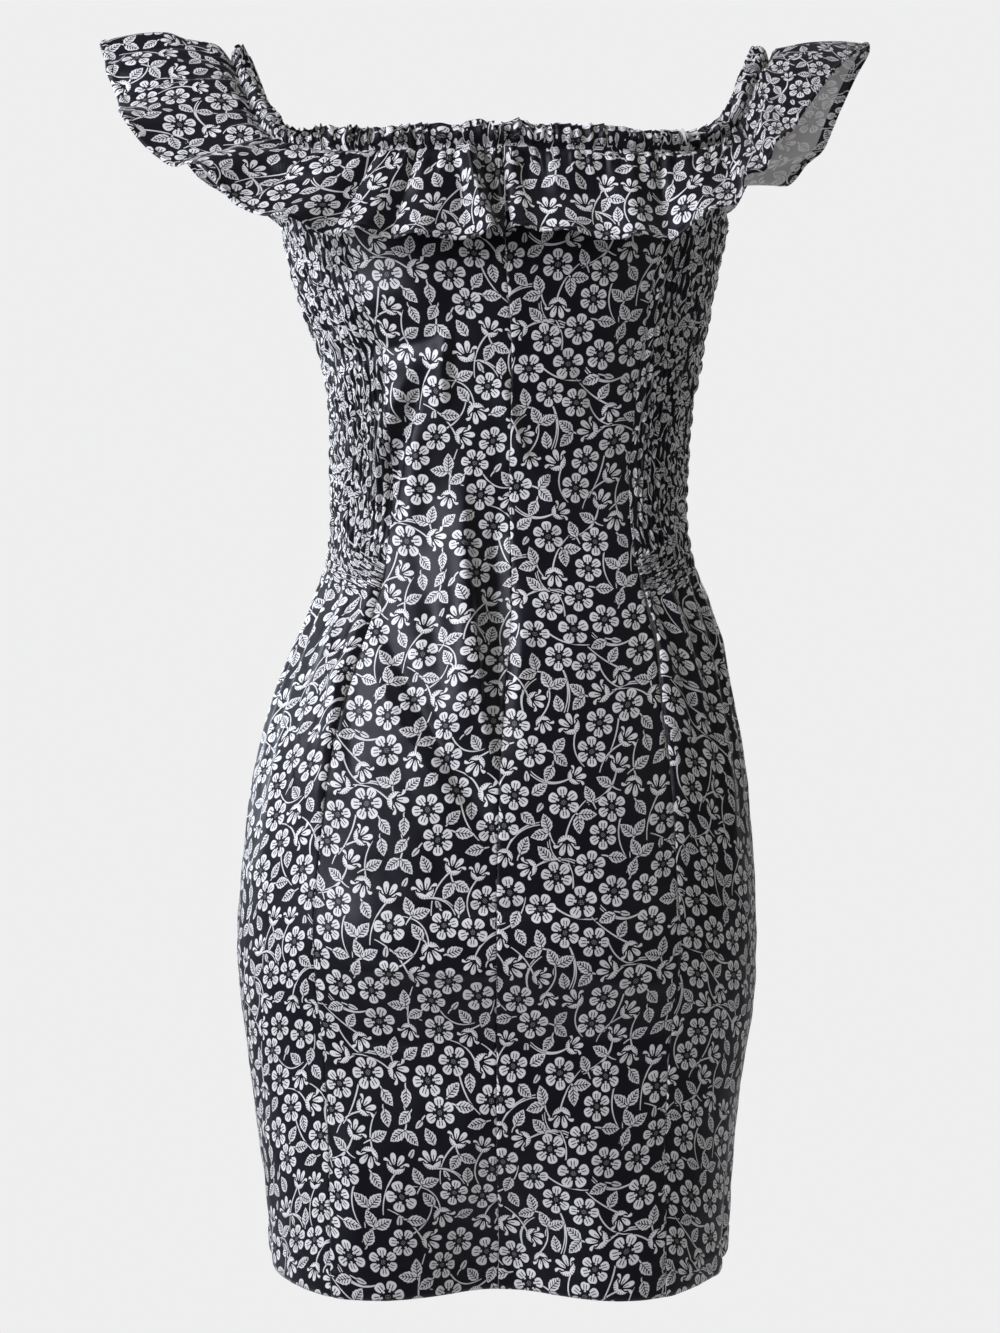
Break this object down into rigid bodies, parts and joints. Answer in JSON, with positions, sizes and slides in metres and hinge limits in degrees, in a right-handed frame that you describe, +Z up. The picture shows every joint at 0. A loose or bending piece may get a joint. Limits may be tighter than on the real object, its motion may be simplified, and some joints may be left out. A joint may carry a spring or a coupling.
{
  "type": "off-shoulder dress",
  "caption": "Fitted knee-length dress with an elastic off-shoulder neckline, one gathered frill round it, shirred side panels and a small flower print, in its hollow worn form.",
  "frame": {"origin": "on the wearer's upright middle line, level with the neckline elastic at the centre back, where the worn dress is held", "axes": "+Z up along the wearer, -Y out of the back of the dress (the side in the picture), +Y out of its front, +X towards the wearer's right, which is the right of the picture"},
  "size_m": [0.5115, 0.2944, 0.8078],
  "materials": {
    "printed_cloth": "woven cotton sateen with a soft sheen, navy-black with a dense off-white flower and leaf print"
  },
  "bodies": {
    "root": {"back_left": "printed_cloth", "back_right": "printed_cloth", "side_left": "printed_cloth", "side_right": "printed_cloth", "front": "printed_cloth", "neck_casing": "printed_cloth", "neck_frill": "printed_cloth"}
  },
  "joints": []
}
